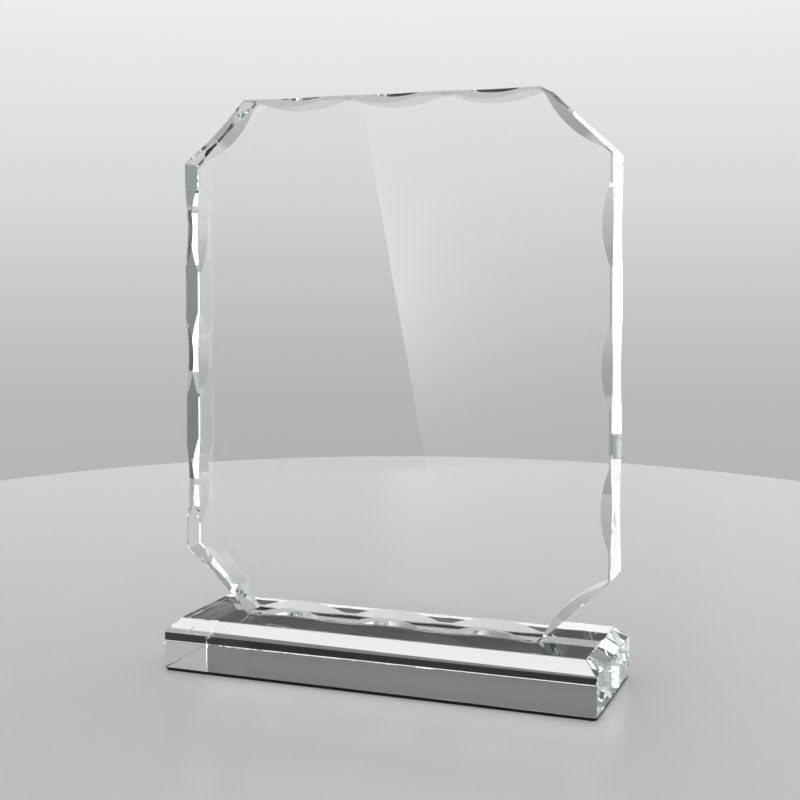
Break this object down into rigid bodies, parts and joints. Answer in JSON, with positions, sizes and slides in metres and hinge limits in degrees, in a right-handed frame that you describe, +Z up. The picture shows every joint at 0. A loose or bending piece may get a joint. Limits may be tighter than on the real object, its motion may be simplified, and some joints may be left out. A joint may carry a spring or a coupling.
{
  "type": "crystal award",
  "caption": "Free-standing clear plate award with clipped corners and scalloped edges, bonded upright on a bevelled clear block base with a thin felt pad.",
  "frame": {"origin": "centre of the pad's underside, on the surface that the award stands on", "axes": "+Z up, X along the plate's width, -Y towards the front"},
  "size_m": [0.2, 0.0654, 0.2585],
  "materials": {
    "plate_glass": "polished",
    "bond_adhesive": "clear",
    "base_glass": "polished",
    "pad_felt": "matt felt"
  },
  "bodies": {
    "root": {"award_plate": "plate_glass", "bond_film": "bond_adhesive", "base_block": "base_glass", "base_pad": "pad_felt"}
  },
  "joints": []
}
